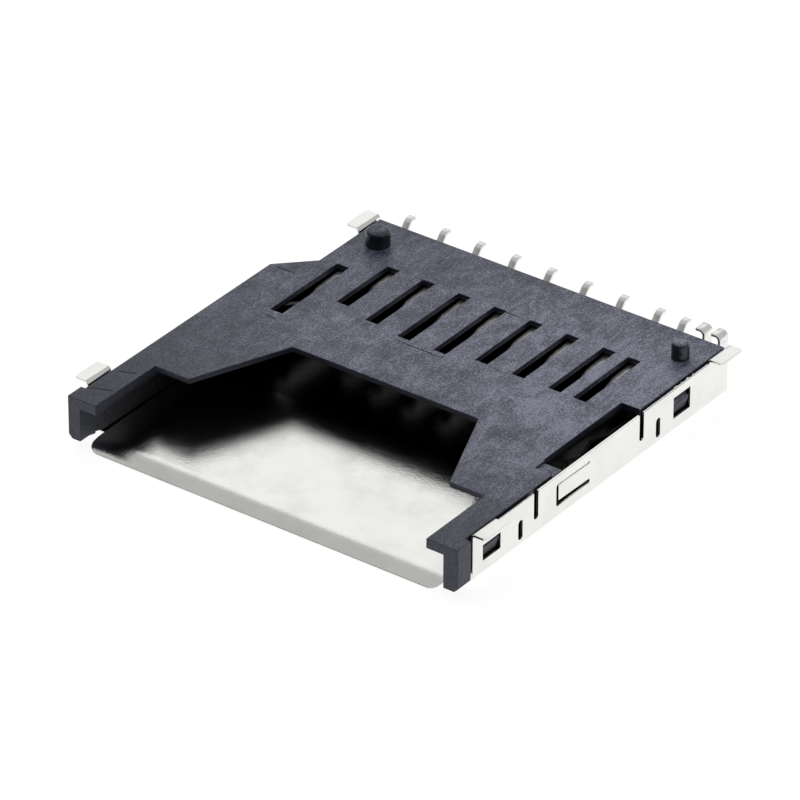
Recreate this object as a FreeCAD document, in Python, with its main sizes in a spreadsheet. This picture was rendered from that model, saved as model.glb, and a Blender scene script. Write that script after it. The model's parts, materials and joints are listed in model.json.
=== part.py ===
import FreeCAD, Part
import os
import re
import Sketcher

# Surface mount socket for a full size memory card, drawn with its circuit board side up.
# Millimetres. X runs across the card, Y in the direction of insertion, Z towards the board.
# The origin is under the middle of the body, on the outside of the metal shell.

os.makedirs("parts", exist_ok=True)
doc = FreeCAD.newDocument("card_socket")

# Driving dimensions, each with the words that explain it
SIZES = (
    ("card_width", 24.0, "card the socket is made for, across"),
    ("card_thick", 2.1, "card the socket is made for, thickness"),
    ("card_corner", 4.0, "cut corner of the card, along each side"),
    ("side_play", 0.1, "gap between card and side wall, each side"),
    ("lid_play", 0.25, "gap between card and plate"),
    ("body_length", 25.9, "plastic body, front to rear"),
    ("stop_depth", 3.12, "thickness of the rear block that stops the card"),
    ("left_wall", 0.87, "plastic wall left of the card"),
    ("right_wall", 0.9, "plastic wall right of the card"),
    ("plate_thick", 0.35, "plastic plate over the card"),
    ("rail_drop", 0.27, "how far the side rails hang under the plate"),
    ("rail_width", 0.8, "rail over the thin edge of the card"),
    ("foot_gap", 0.1, "gap between plastic walls and metal floor"),
    ("arm_bevel", 0.25, "bevel on the lower outer edges of the arms"),
    ("foot_bevel", 0.2, "bevel on the lower outer edges of the plastic"),
    ("jog_depth", 2.0, "step in of the left side beside the cut card corner"),
    ("jog_place", 7.82, "start of that step, from the rear"),
    ("arm_length", 1.2, "thick front part of each arm"),
    ("arm_proud", 0.04, "left arm front beyond the metal wall"),
    ("arm_proud_right", 0.16, "right arm front beyond the metal wall"),
    ("arm_foot", 0.12, "underside of the arm fronts"),
    ("mouth_flare", 0.33, "extra width of the mouth, each side"),
    ("mouth_depth", 0.8, "straight part of the widened mouth"),
    ("mouth_taper", 0.9, "length over which the mouth narrows"),
    ("finger_step", 5.35, "arm length in front of the shoulder"),
    ("shoulder", 2.35, "width of the shoulder behind each arm"),
    ("finger_depth", 11.56, "depth of the finger cut-out"),
    ("finger_half", 6.4, "half width of the cut-out at its back"),
    ("slot_width", 0.84, "openings over the contact springs"),
    ("slot_setback", 0.93, "rear ends of the openings from the card stop"),
    ("nine_setback", 1.45, "ninth opening further forward than the others"),
    ("slot_long", 6.3, "length of the ninth opening"),
    ("slot_one", 4.87, "length of the first opening"),
    ("slot_two", 5.5, "length of the second opening"),
    ("slot_middle", 5.85, "length of the third and fourth openings"),
    ("slot_data", 5.35, "length of the other openings"),
    ("first_contact", -9.5, "ninth contact, from the card centre"),
    ("pitch", 2.5, "contact spacing"),
    ("last_pitch", 1.7, "spacing of the last contact"),
    ("window_width", 1.25, "side window over the switch springs"),
    ("window_front", 10.23, "front end of that window, from the front"),
    ("window_length", 7.4, "length of that window"),
    ("recess_length", 0.95, "sunken land in front of that window"),
    ("recess_width", 1.15, "that land, across"),
    ("recess_depth", 0.2, "that land below the plate top"),
    ("peg_tall", 1.1, "locating pegs above the plate"),
    ("peg_large", 1.45, "diameter of the large peg"),
    ("peg_small", 1.03, "diameter of the small peg"),
    ("peg_place", 2.45, "pegs from the rear edge"),
    ("peg_left", 2.8, "large peg in from the left side of the card space"),
    ("peg_right", 0.42, "small peg in from the right side of the card space"),
    ("peg_round", 0.12, "rounding of the peg tops"),
    ("latch_length", 1.45, "latch wedge along the wall"),
    ("latch_low", 0.95, "foot of the latch ramp"),
    ("latch_high", 1.75, "ledge of the latch"),
    ("latch_proud", 0.22, "latch wedge out of the wall"),
    ("latch_front", 3.35, "middle of the front latch, from the front"),
    ("latch_rear", 4.5, "middle of the rear latch, from the rear"),
    ("latch_left_rear", 2.9, "middle of the rear latch on the left, from the rear"),
    ("latch_play", 0.1, "gap between latch wedge and its window"),
    ("sheet", 0.15, "thickness of the shell's sheet metal"),
    ("wall_gap", 0.1, "gap between plastic side and metal wall"),
    ("wall_front", 1.6, "front edge of the metal walls, from the front"),
    ("wall_relief", 0.15, "left walls end short of the step"),
    ("wall_under", 0.14, "right metal wall below the plate top"),
    ("left_under", 0.45, "left metal walls below the plate top"),
    ("bend", 0.1, "inner radius of the shell's bends"),
    ("tab_length", 2.05, "solder tab along the wall"),
    ("tab_reach", 0.85, "solder tab out from the wall"),
    ("tab_rise", 0.15, "solder tab above the plate top"),
    ("tab_root", 0.4, "root of a tab below the wall's top"),
    ("tab_round", 0.2, "rounded corners of the tabs"),
    ("tab_rear", 0.2, "rear tabs beyond the body's rear edge"),
    ("tongue_gap", 0.43, "shell's front tongue inside the widened mouth"),
    ("lip_length", 1.3, "curved lead-in lip, front to rear"),
    ("lip_drop", 0.42, "how far the lip curves down"),
    ("lip_corner", 0.7, "rounded corners of the lip"),
    ("window_high", 2.2, "head of the rear latch window"),
    ("slit", 0.42, "width of the slits in the metal wall"),
    ("slit_low", 1.0, "foot of the long slits"),
    ("slit_short_low", 0.43, "foot of the short slits"),
    ("slit_short_high", 1.65, "head of the short slits"),
    ("slit_one", 5.8, "first short slit, from the front"),
    ("slit_two", 7.25, "first long slit, from the front"),
    ("slit_three", 17.27, "second long slit, from the front"),
    ("slit_four", 18.88, "second short slit, from the front"),
    ("leaf_front", 9.35, "front end of the cut round the leaf, from the front"),
    ("leaf_length", 3.15, "cut round the leaf, front to rear"),
    ("leaf_low", 0.8, "foot of that cut"),
    ("leaf_high", 2.18, "head of that cut"),
    ("leaf_gap", 0.3, "cut in front of the leaf"),
    ("leaf_under", 0.26, "cut under the leaf"),
    ("leaf_over", 0.12, "cut over the leaf"),
    ("leaf_press", 0.06, "free end of the leaf pressed inwards"),
    ("leaf_round", 0.15, "rounded front corners of that cut"),
    ("strip", 0.18, "thickness of the contact strip"),
    ("beam_width", 0.66, "width of a contact spring"),
    ("tail_width", 0.45, "width of a solder tail"),
    ("seat_play", 0.02, "gap round strip and blades in their seats"),
    ("seat_lead", 0.15, "straight strip in front of the rear block"),
    ("base_drop", 0.1, "strip below the plate's underside in the rear block"),
    ("tail_flat", 0.4, "flat end of a solder tail"),
    ("tail_slope", 0.5, "sloped part of a solder tail, front to rear"),
    ("tail_exit", 0.3, "straight part of a tail behind the body"),
    ("beam_run", 2.6, "nearly level part of a contact spring in front of the rear block"),
    ("beam_dip", 0.08, "fall of the spring over that part"),
    ("touch_drop", 0.85, "contact point below the strip's seat"),
    ("touch_place", 1.55, "contact point behind the opening's front end"),
    ("tip_rise", 1.0, "curled tip above the contact point"),
    ("tip_gap", 0.3, "tip behind the opening's front end"),
    ("bend_soft", 0.3, "inner radius of the contact bends"),
    ("blade", 0.15, "thickness of the switch blades"),
    ("blade_bend", 0.25, "inner radius of the blades' bends"),
    ("blade_low", 0.6, "foot of the switch blades"),
    ("blade_tall", 1.35, "height of the switch blades"),
    ("hook_width", 0.85, "width of the hooked switch tails"),
    ("hook_exit", 0.35, "hooked tails behind the body"),
    ("hook_rise", 0.28, "hooked tails above the plate top"),
    ("hook_reach", 0.62, "hooked tails, side to side"),
    ("hook_bend", 0.2, "inner radius of the hook's bends"),
    ("inner_hook", 0.7, "inner hooked tail in from the side of the card space"),
    ("outer_hook", 0.35, "outer hooked tail out from the side of the card space"),
    ("jog_gap", 0.45, "plastic before and between the cranks of the blades"),
    ("blade_jog", 0.8, "length of a blade's crank"),
    ("blade_web", 0.2, "plastic between the two switch blades"),
    ("nose_reach", 0.2, "switch blade noses into the card's path"),
    ("nose_half", 1.1, "half length of a blade's nose"),
    ("inner_nose", 3.1, "nose of the inner blade, from the window's rear end"),
    ("outer_nose", 5.6, "nose of the outer blade, from the window's rear end"),
    ("blade_end", 0.25, "straight end of a blade in front of its nose"),
)
ALIASES = frozenset(name for name, value, note in SIZES)

sheet = doc.addObject("Spreadsheet::Sheet", "sizes")
for row, (name, value, note) in enumerate(SIZES, start=1):
    sheet.set("A%d" % row, note)
    sheet.set("B%d" % row, repr(value))
    sheet.setAlias("B%d" % row, name)
doc.recompute()


def bind(words):
    """Turns the names in an arithmetic phrase into references to the sheet."""
    return re.sub(r"[a-z_]+", lambda m: "sizes." + m.group(0) if m.group(0) in ALIASES else m.group(0), words)


def number(words):
    """Value of an arithmetic phrase in sheet names."""
    return float(sheet.evalExpression(bind(words)))


# Levels and lines that several pieces share
FRONT = "(-body_length / 2)"
REAR = "(body_length / 2)"
STOP = "(body_length / 2 - stop_depth)"
FOOT = "(sheet + foot_gap)"
LID = "(sheet + card_thick + lid_play)"
RAIL = "(sheet + card_thick + lid_play - rail_drop)"
TOP = "(sheet + card_thick + lid_play + plate_thick)"
HALF = "(card_width / 2 + side_play)"
LEFT = "(-(card_width / 2 + side_play + left_wall))"
RIGHT = "(card_width / 2 + side_play + right_wall)"
LEFT_METAL = "(-(card_width / 2 + side_play + left_wall + wall_gap + sheet))"
RIGHT_METAL = "(card_width / 2 + side_play + right_wall + wall_gap + sheet)"
ARM_BACK = "(-body_length / 2 + arm_length)"
METAL_FRONT = "(-body_length / 2 + wall_front)"
METAL_TOP = "(sheet + card_thick + lid_play + plate_thick - wall_under)"
LEFT_METAL_TOP = "(sheet + card_thick + lid_play + plate_thick - left_under)"
JOG_FRONT = "(body_length / 2 - jog_place)"
JOG_REAR = "(body_length / 2 - jog_place + jog_depth)"
JOG_SIDE = "(-(card_width / 2 + side_play + left_wall) + jog_depth)"
WINDOW_FRONT = "(-body_length / 2 + window_front)"
WINDOW_REAR = "(-body_length / 2 + window_front + window_length)"
OVERRUN = "1"

PLANES = {"plan": ("XY_Plane", 1), "across": ("XZ_Plane", -1), "along": ("YZ_Plane", 1)}


def new_body(label):
    body = doc.addObject("PartDesign::Body", label)
    body.Label = label
    return body


def add_loop(sketch, points):
    """Closes a polygon through points, each held by two signed distances from the origin."""
    places = [FreeCAD.Vector(number(a), number(b), 0) for a, b in points]
    first = sketch.GeometryCount
    count = len(places)
    for i in range(count):
        sketch.addGeometry(Part.LineSegment(places[i], places[(i + 1) % count]), False)
    for i in range(count):
        sketch.addConstraint(Sketcher.Constraint("Coincident", first + i, 2, first + (i + 1) % count, 1))
    for i, (a, b) in enumerate(points):
        hold(sketch, first + i, 1, a, b)


def hold(sketch, geometry, end, a, b):
    """Ties one end of a line to the sheet."""
    for kind, words in (("DistanceX", a), ("DistanceY", b)):
        index = sketch.addConstraint(Sketcher.Constraint(kind, -1, 1, geometry, end, number(words)))
        sketch.setExpression("Constraints[%d]" % index, bind(words))


def new_sketch(body, name, plane, start):
    """Empty sketch on one of the body's own planes, moved along its axis."""
    role, sign = PLANES[plane]
    support = [item for item in body.Origin.OriginFeatures if item.Role == role][0]
    sketch = body.newObject("Sketcher::SketchObject", name)
    sketch.AttachmentSupport = [(support, "")]
    sketch.MapMode = "FlatFace"
    sketch.setExpression("AttachmentOffset.Base.z", bind("%d * (%s)" % (sign, start)))
    return sketch


def loops(body, name, plane, start, *outlines):
    sketch = new_sketch(body, name + "_sketch", plane, start)
    for points in outlines:
        add_loop(sketch, points)
    return sketch


def pad(body, name, plane, start, length, *outlines):
    """Raises outlines from a start level towards the positive axis."""
    sketch = loops(body, name, plane, start, *outlines)
    feature = body.newObject("PartDesign::Pad", name)
    feature.Profile = sketch
    feature.setExpression("Length", bind(length))
    feature.Reversed = PLANES[plane][1] < 0
    doc.recompute()
    return feature


def cut(body, name, plane, start, length, *outlines):
    """Removes outlines from a start level towards the positive axis."""
    before = body.Shape.Volume
    sketch = loops(body, name, plane, start, *outlines)
    feature = body.newObject("PartDesign::Pocket", name)
    feature.Profile = sketch
    feature.setExpression("Length", bind(length))
    feature.Reversed = PLANES[plane][1] > 0
    doc.recompute()
    if not before - body.Shape.Volume > 1e-6:
        raise RuntimeError(name + " removed nothing")
    return feature


def rectangle(left, right, low, high):
    return ((left, low), (right, low), (right, high), (left, high))


def straight(edge, axis):
    """True for a straight edge that runs along the given axis."""
    if edge.Curve.TypeId != "Part::GeomLine":
        return False
    return abs(abs(edge.tangentAt(edge.FirstParameter)[axis]) - 1) < 1e-6


def soften(body, name, kind, size, test):
    """Rounds or bevels every edge that passes the test."""
    base = body.Tip
    names = ["Edge%d" % (i + 1) for i, edge in enumerate(base.Shape.Edges) if test(edge)]
    if not names:
        raise RuntimeError(name + " found no edge")
    feature = body.newObject("PartDesign::" + kind, name)
    feature.Base = (base, names)
    feature.setExpression("Radius" if kind == "Fillet" else "Size", bind(size))
    doc.recompute()
    return feature


def near(value, words):
    return abs(value - number(words)) < 1e-4


# Contact places and openings, ninth contact first
CONTACTS = (
    ("contact_9", "first_contact", "nine_setback", "slot_long"),
    ("contact_1", "(first_contact + pitch)", "0", "slot_one"),
    ("contact_2", "(first_contact + 2 * pitch)", "0", "slot_two"),
    ("contact_3", "(first_contact + 3 * pitch)", "0", "slot_middle"),
    ("contact_4", "(first_contact + 4 * pitch)", "0", "slot_middle"),
    ("contact_5", "(first_contact + 5 * pitch)", "0", "slot_data"),
    ("contact_6", "(first_contact + 6 * pitch)", "0", "slot_data"),
    ("contact_7", "(first_contact + 7 * pitch)", "0", "slot_data"),
    ("contact_8", "(first_contact + 7 * pitch + last_pitch)", "0", "slot_data"),
)


# The ninth contact leaves the plastic earlier, where the rear block follows the cut corner
NINE_ROOT = "(%s - card_corner + %s + first_contact - beam_width / 2 - 2 * seat_play)" % (STOP, HALF)


def slot_rear(setback):
    return "(%s - slot_setback - %s)" % (STOP, setback)


def slot_front(setback, length):
    return "(%s - slot_setback - %s - %s)" % (STOP, setback, length)


# Plastic housing

housing = new_body("housing")


def arm_side(side):
    """Outer face of an arm's thick front part, a little beyond the metal wall."""
    return "(%s + arm_proud_right)" % RIGHT_METAL if side > 0 else "(%s - arm_proud)" % LEFT_METAL


pad(housing, "block", "plan", FOOT, "%s - %s" % (TOP, FOOT), (
    (arm_side(-1), FRONT), (arm_side(1), FRONT), (arm_side(1), ARM_BACK), (RIGHT, ARM_BACK),
    (RIGHT, REAR), (JOG_SIDE, REAR), (JOG_SIDE, JOG_REAR), (LEFT, JOG_FRONT),
    (LEFT, ARM_BACK), (arm_side(-1), ARM_BACK)))
pad(housing, "arm_feet", "plan", "arm_foot", "%s - arm_foot" % FOOT,
    rectangle(arm_side(-1), arm_side(1), FRONT, ARM_BACK))

# Space for the card, with the cut corner on the left and a widened mouth
MOUTH = "(%s + mouth_flare)" % HALF
MOUTH_BACK = "(%s + mouth_depth)" % FRONT
MOUTH_END = "(%s + mouth_depth + mouth_taper)" % FRONT
BEYOND = "(%s - %s)" % (FRONT, OVERRUN)
cut(housing, "card_space", "plan", "0", RAIL, (
    ("-" + MOUTH, BEYOND), (MOUTH, BEYOND), (MOUTH, MOUTH_BACK), (HALF, MOUTH_END), (HALF, STOP),
    ("(-%s + card_corner)" % HALF, STOP), ("-" + HALF, "(%s - card_corner)" % STOP),
    ("-" + HALF, MOUTH_END), ("-" + MOUTH, MOUTH_BACK)))
RAIL_INNER = "(%s - rail_width)" % HALF
cut(housing, "card_crown", "plan", "0", LID, (
    ("-" + RAIL_INNER, BEYOND), (RAIL_INNER, BEYOND), (RAIL_INNER, STOP),
    ("(-%s + card_corner)" % HALF, STOP), ("-" + RAIL_INNER, "(%s - card_corner + rail_width)" % STOP)))

# Finger cut-out between the arms
SHOULDER_PLACE = "(%s + finger_step)" % FRONT
CUT_BACK = "(%s + finger_depth)" % FRONT
SHOULDER_INNER = "(%s - shoulder)" % RAIL_INNER
cut(housing, "finger_cut", "plan", "0", "%s + %s" % (TOP, OVERRUN), (
    ("-" + RAIL_INNER, BEYOND), (RAIL_INNER, BEYOND), (RAIL_INNER, SHOULDER_PLACE),
    (SHOULDER_INNER, SHOULDER_PLACE), ("finger_half", CUT_BACK), ("-finger_half", CUT_BACK),
    ("-" + SHOULDER_INNER, SHOULDER_PLACE), ("-" + RAIL_INNER, SHOULDER_PLACE)))

# Openings over the contact springs
cut(housing, "contact_slots", "plan", "%s - rail_drop" % LID, "%s + rail_drop" % TOP, *[
    rectangle("(%s - slot_width / 2)" % place, "(%s + slot_width / 2)" % place,
              slot_front(setback, length), slot_rear(setback))
    for name, place, setback, length in CONTACTS])

# Window over the switch springs, open towards the metal wall
cut(housing, "switch_window", "plan", "0", "%s + %s" % (TOP, OVERRUN), rectangle(
    "(%s - window_width)" % RIGHT, "(%s + %s)" % (RIGHT, OVERRUN), WINDOW_FRONT, WINDOW_REAR))
cut(housing, "window_recess", "plan", "%s - recess_depth" % TOP, "recess_depth + " + OVERRUN, rectangle(
    "(%s - recess_width)" % RIGHT, "(%s + %s)" % (RIGHT, OVERRUN), "(%s - recess_length)" % WINDOW_FRONT,
    WINDOW_FRONT))

# Seats of the contacts through the rear block
SEAT_TOP = "(%s - base_drop)" % LID
cut(housing, "contact_seats", "across", NINE_ROOT, "%s - %s + %s" % (REAR, NINE_ROOT, OVERRUN), *[
    rectangle("(%s - beam_width / 2 - seat_play)" % place, "(%s + beam_width / 2 + seat_play)" % place,
              "(%s - strip - seat_play)" % SEAT_TOP, "(%s + seat_play)" % SEAT_TOP)
    for name, place, setback, length in CONTACTS])

# Latch wedges that spring into the windows of the metal walls
FRONT_LATCH = "(%s + latch_front)" % FRONT
REAR_LATCH = "(%s - latch_rear)" % REAR
LEFT_REAR_LATCH = "(%s - latch_left_rear)" % REAR
RIGHT_LATCHES = (("front", FRONT_LATCH), ("rear", REAR_LATCH))
LEFT_LATCHES = (("front", FRONT_LATCH, LEFT), ("rear", LEFT_REAR_LATCH, JOG_SIDE))


def wedge(name, middle, face, out):
    """Ramp that rises away from the floor and ends in a ledge."""
    pad(housing, name, "across", "%s - latch_length / 2" % middle, "latch_length", (
        (face, "latch_low"), ("(%s %s latch_proud)" % (face, out), "latch_high - latch_play"),
        (face, "latch_high")))


for label, middle in RIGHT_LATCHES:
    wedge(label + "_right_latch", middle, RIGHT, "+")
for label, middle, face in LEFT_LATCHES:
    wedge(label + "_left_latch", middle, face, "-")

# Relief behind the pressed leaf of the metal wall
LEAF_FRONT = "(%s + leaf_front)" % FRONT
LEAF_REAR = "(%s + leaf_front + leaf_length)" % FRONT
cut(housing, "leaf_relief", "plan", "0", "leaf_high + leaf_over", rectangle(
    "(%s - leaf_press - wall_gap)" % RIGHT, "(%s + %s)" % (RIGHT, OVERRUN),
    "(%s - wall_gap)" % LEAF_FRONT, "(%s + wall_gap)" % WINDOW_FRONT))

# Seats of the two switch blades in the right wall and the rear block, open below
INNER_FACE = "(%s - inner_hook)" % HALF
OUTER_FACE = "(%s + outer_hook)" % HALF
INNER_TAIL = "(%s - blade / 2)" % INNER_FACE
OUTER_TAIL = "(%s - blade / 2)" % OUTER_FACE
INNER_SEAT = "(%s + seat_play + blade / 2)" % HALF
OUTER_SEAT = "(%s + 3 * seat_play + blade * 3 / 2 + blade_web)" % HALF
INNER_JOG_FRONT = "(%s + jog_gap)" % STOP
INNER_JOG_REAR = "(%s + jog_gap + blade_jog)" % STOP
OUTER_JOG_FRONT = "(%s + 2 * jog_gap + blade_jog)" % STOP
OUTER_JOG_REAR = "(%s + 2 * jog_gap + 2 * blade_jog)" % STOP
BLADE_TOP = "(blade_low + blade_tall)"


def lane_left(middle):
    return "(%s - blade / 2 - seat_play)" % middle


def lane_right(middle):
    return "(%s + blade / 2 + seat_play)" % middle


def seat(middle, front, rear):
    """Slot for a straight stretch of blade."""
    return rectangle(lane_left(middle), lane_right(middle), front, rear)


def well(left, right, front, rear):
    """Wider slot round a cranked stretch of blade."""
    return rectangle(lane_left(left), lane_right(right), "(%s - blade)" % front, "(%s + blade)" % rear)


BEHIND = "(%s + %s)" % (REAR, OVERRUN)
for name, outline in (
        ("inner_tail_seat", seat(INNER_TAIL, INNER_JOG_FRONT, BEHIND)),
        ("inner_blade_well", well(INNER_TAIL, INNER_SEAT, INNER_JOG_FRONT, INNER_JOG_REAR)),
        ("inner_blade_seat", rectangle("(%s - seat_play)" % HALF, lane_right(INNER_SEAT),
                                       "(%s - seat_play)" % WINDOW_REAR, INNER_JOG_REAR)),
        ("outer_tail_seat", seat(OUTER_TAIL, OUTER_JOG_FRONT, BEHIND)),
        ("outer_blade_well", well(OUTER_TAIL, OUTER_SEAT, OUTER_JOG_FRONT, OUTER_JOG_REAR)),
        ("outer_blade_seat", seat(OUTER_SEAT, "(%s - seat_play)" % WINDOW_REAR, OUTER_JOG_REAR))):
    cut(housing, name, "plan", "0", "%s + seat_play" % BLADE_TOP, outline)

# Bevel along the lower outer edges, which clears the bends of the shell
soften(housing, "foot_bevel_edges", "Chamfer", "foot_bevel", lambda e: straight(e, 1)
       and near(e.CenterOfMass.z, FOOT) and (
           near(e.CenterOfMass.x, RIGHT) or near(e.CenterOfMass.x, LEFT) or near(e.CenterOfMass.x, JOG_SIDE)))
soften(housing, "arm_bevel_edges", "Chamfer", "arm_bevel", lambda e: straight(e, 1)
       and near(e.CenterOfMass.z, "arm_foot") and (
           near(e.CenterOfMass.x, arm_side(1)) or near(e.CenterOfMass.x, arm_side(-1))))


# Locating pegs for the circuit board
def peg(name, across, diameter):
    sketch = new_sketch(housing, name + "_sketch", "plan", TOP)
    centre = FreeCAD.Vector(number(across), number(PEG_LINE), 0)
    sketch.addGeometry(Part.Circle(centre, FreeCAD.Vector(0, 0, 1), number(diameter) / 2), False)
    hold(sketch, 0, 3, across, PEG_LINE)
    size = sketch.addConstraint(Sketcher.Constraint("Diameter", 0, number(diameter)))
    sketch.setExpression("Constraints[%d]" % size, bind(diameter))
    feature = housing.newObject("PartDesign::Pad", name)
    feature.Profile = sketch
    feature.setExpression("Length", bind("peg_tall"))
    doc.recompute()
    soften(housing, name + "_round", "Fillet", "peg_round", lambda e: near(
        e.CenterOfMass.z, "%s + peg_tall" % TOP) and near(e.CenterOfMass.x, across))


PEG_LINE = "(%s - peg_place)" % REAR
peg("large_peg", "(peg_left - %s)" % HALF, "peg_large")
peg("small_peg", "(%s - peg_right)" % HALF, "peg_small")


def open_line(body, name, plane, start, points):
    """Open polyline in a sketch, each corner held by the sheet."""
    sketch = new_sketch(body, name, plane, start)
    places = [FreeCAD.Vector(number(a), number(b), 0) for a, b in points]
    for i in range(len(places) - 1):
        sketch.addGeometry(Part.LineSegment(places[i], places[i + 1]), False)
    for i in range(len(places) - 2):
        sketch.addConstraint(Sketcher.Constraint("Coincident", i, 2, i + 1, 1))
    for i, (a, b) in enumerate(points[:-1]):
        hold(sketch, i, 1, a, b)
    hold(sketch, len(places) - 2, 2, *points[-1])
    return sketch


def bent_strip(body, name, plane, start, points, section, section_start, thickness, radius):
    """Strip of constant thickness along an open line, its corners rounded as bends."""
    spine = open_line(body, name + "_line", plane, start, points)
    profile = loops(body, name + "_section", "across", section_start, section)
    doc.recompute()
    feature = body.newObject("PartDesign::AdditivePipe", name)
    feature.Profile = profile
    feature.Spine = (spine, [])
    feature.Transition = "Right corner"
    doc.recompute()
    inner, outer = corner_tests(plane, points, thickness)
    soften(body, name + "_inside", "Fillet", radius, inner)
    soften(body, name + "_outside", "Fillet", "%s + %s" % (radius, thickness), outer)
    return feature


def corner_tests(plane, points, thickness):
    """Tests that tell the inner edges of the corners of a strip from the outer ones."""
    across_axis, up_axis, normal_axis = {"plan": (0, 1, 2), "along": (1, 2, 0)}[plane]
    flat = [FreeCAD.Vector(number(a), number(b), 0) for a, b in points]
    corners = []
    for before, corner, after in zip(flat, flat[1:], flat[2:]):
        inward = (after - corner).normalize() + (before - corner).normalize()
        corners.append((corner, inward.normalize()))
    reach = number(thickness)

    def side(edge):
        if not straight(edge, normal_axis):
            return 0
        middle = edge.CenterOfMass
        place = FreeCAD.Vector(middle[across_axis], middle[up_axis], 0)
        for corner, inward in corners:
            if (place - corner).Length < reach:
                return 1 if (place - corner).dot(inward) > 0 else -1
        return 0

    return (lambda edge: side(edge) > 0), (lambda edge: side(edge) < 0)


# Contact springs with solder tails
TAIL_TOP = "(%s + tab_rise)" % TOP
TAIL_END = "(%s + tail_exit + tail_slope + tail_flat)" % REAR
SEAT_MIDDLE = "(%s - strip / 2)" % SEAT_TOP


def contact(name, place, setback, length):
    body = new_body(name)
    tip_place = slot_front(setback, length)
    root = NINE_ROOT if setback == "nine_setback" else STOP
    line = (
        (TAIL_END, "(%s - strip / 2)" % TAIL_TOP),
        ("(%s - tail_flat)" % TAIL_END, "(%s - strip / 2)" % TAIL_TOP),
        ("(%s + tail_exit)" % REAR, SEAT_MIDDLE),
        ("(%s - seat_lead)" % root, SEAT_MIDDLE),
        ("(%s - beam_run)" % root, "(%s - beam_dip)" % SEAT_MIDDLE),
        ("(%s + touch_place)" % tip_place, "(%s - touch_drop)" % SEAT_MIDDLE),
        ("(%s + tip_gap)" % tip_place, "(%s - touch_drop + tip_rise)" % SEAT_MIDDLE))
    section = rectangle("(%s - beam_width / 2)" % place, "(%s + beam_width / 2)" % place,
                        "(%s - strip)" % TAIL_TOP, TAIL_TOP)
    bent_strip(body, "spring", "along", place, line, section, TAIL_END, "strip", "bend_soft")
    neck = "(%s + seat_play)" % REAR
    past = "(%s + %s)" % (TAIL_END, OVERRUN)
    cut(body, "tail_sides", "plan", "0", "%s + %s" % (TAIL_TOP, OVERRUN),
        rectangle("(%s - beam_width)" % place, "(%s - tail_width / 2)" % place, neck, past),
        rectangle("(%s + tail_width / 2)" % place, "(%s + beam_width)" % place, neck, past))
    return body


contacts = [contact(*row) for row in CONTACTS]


# Upright switch blades along the right wall, their tails hooked over the board
HOOK_FRONT = "(%s + hook_exit)" % REAR
HOOK_END = "(%s + hook_exit + hook_width)" % REAR
HOOK_TOP = "(%s + hook_rise)" % TOP
NOSE_SIDE = "(card_width / 2 - nose_reach + blade / 2)"


def switch_blade(name, tail_face, tail, jog_rear, jog_front, lane, nose):
    """Blade on edge with a nose towards the card and a hooked solder tail."""
    body = new_body(name)
    line = (
        (tail, HOOK_END),
        (tail, jog_rear),
        (lane, jog_front),
        (lane, "(%s + nose_half)" % nose),
        (NOSE_SIDE, nose),
        (lane, "(%s - nose_half)" % nose),
        (lane, "(%s - nose_half - blade_end)" % nose))
    section = rectangle("(%s - blade / 2)" % tail, "(%s + blade / 2)" % tail, "blade_low", BLADE_TOP)
    bent_strip(body, "blade", "plan", "0", line, section, HOOK_END, "blade", "blade_bend")
    free = "(%s - hook_reach)" % tail_face
    root = "(%s - blade)" % tail_face
    pad(body, "hook", "across", HOOK_FRONT, "hook_width", (
        (tail_face, "blade_low"), (tail_face, HOOK_TOP), (free, HOOK_TOP), (free, "(%s - blade)" % HOOK_TOP),
        (root, "(%s - blade)" % HOOK_TOP), (root, "blade_low")))
    soften(body, "hook_outside", "Fillet", "hook_bend + blade", lambda e: straight(e, 1)
           and near(e.CenterOfMass.z, HOOK_TOP) and near(e.CenterOfMass.x, tail_face))
    soften(body, "hook_inside", "Fillet", "hook_bend", lambda e: straight(e, 1)
           and near(e.CenterOfMass.z, "%s - blade" % HOOK_TOP) and near(e.CenterOfMass.x, root))
    return body


switch_blades = [
    switch_blade("write_protect_spring", INNER_FACE, INNER_TAIL, INNER_JOG_REAR, INNER_JOG_FRONT,
                 INNER_SEAT, "(%s - inner_nose)" % WINDOW_REAR),
    switch_blade("card_detect_spring", OUTER_FACE, OUTER_TAIL, OUTER_JOG_REAR, OUTER_JOG_FRONT,
                 OUTER_SEAT, "(%s - outer_nose)" % WINDOW_REAR)]

# Metal shell, one folded sheet under and beside the plastic
shell = new_body("shell")
TONGUE = "(%s - tongue_gap)" % MOUTH
LIP_START = "(%s + lip_length)" % FRONT
JOG_METAL = "(%s - wall_gap - sheet)" % JOG_SIDE
INNER_METAL = "(%s - sheet)" % RIGHT_METAL
LEFT_WALL_END = "(%s - wall_relief)" % JOG_FRONT
LEFT_WALL_START = "(%s + bend + sheet + wall_relief)" % JOG_REAR
LEFT_FLAT = "(%s + bend + sheet)" % LEFT_METAL
JOG_FLAT = "(%s + bend + sheet)" % JOG_METAL
pad(shell, "floor", "plan", "0", "sheet", (
    ("-" + TONGUE, LIP_START), (TONGUE, LIP_START), (TONGUE, METAL_FRONT), (RIGHT_METAL, METAL_FRONT),
    (RIGHT_METAL, REAR), (JOG_METAL, REAR), (JOG_METAL, LEFT_WALL_START), (JOG_FLAT, LEFT_WALL_START),
    (JOG_FLAT, "(%s + bend + sheet)" % JOG_REAR), (LEFT_FLAT, "(%s + bend + sheet)" % JOG_FRONT),
    (LEFT_FLAT, LEFT_WALL_END), (LEFT_METAL, LEFT_WALL_END), (LEFT_METAL, METAL_FRONT),
    ("-" + TONGUE, METAL_FRONT)))
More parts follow.
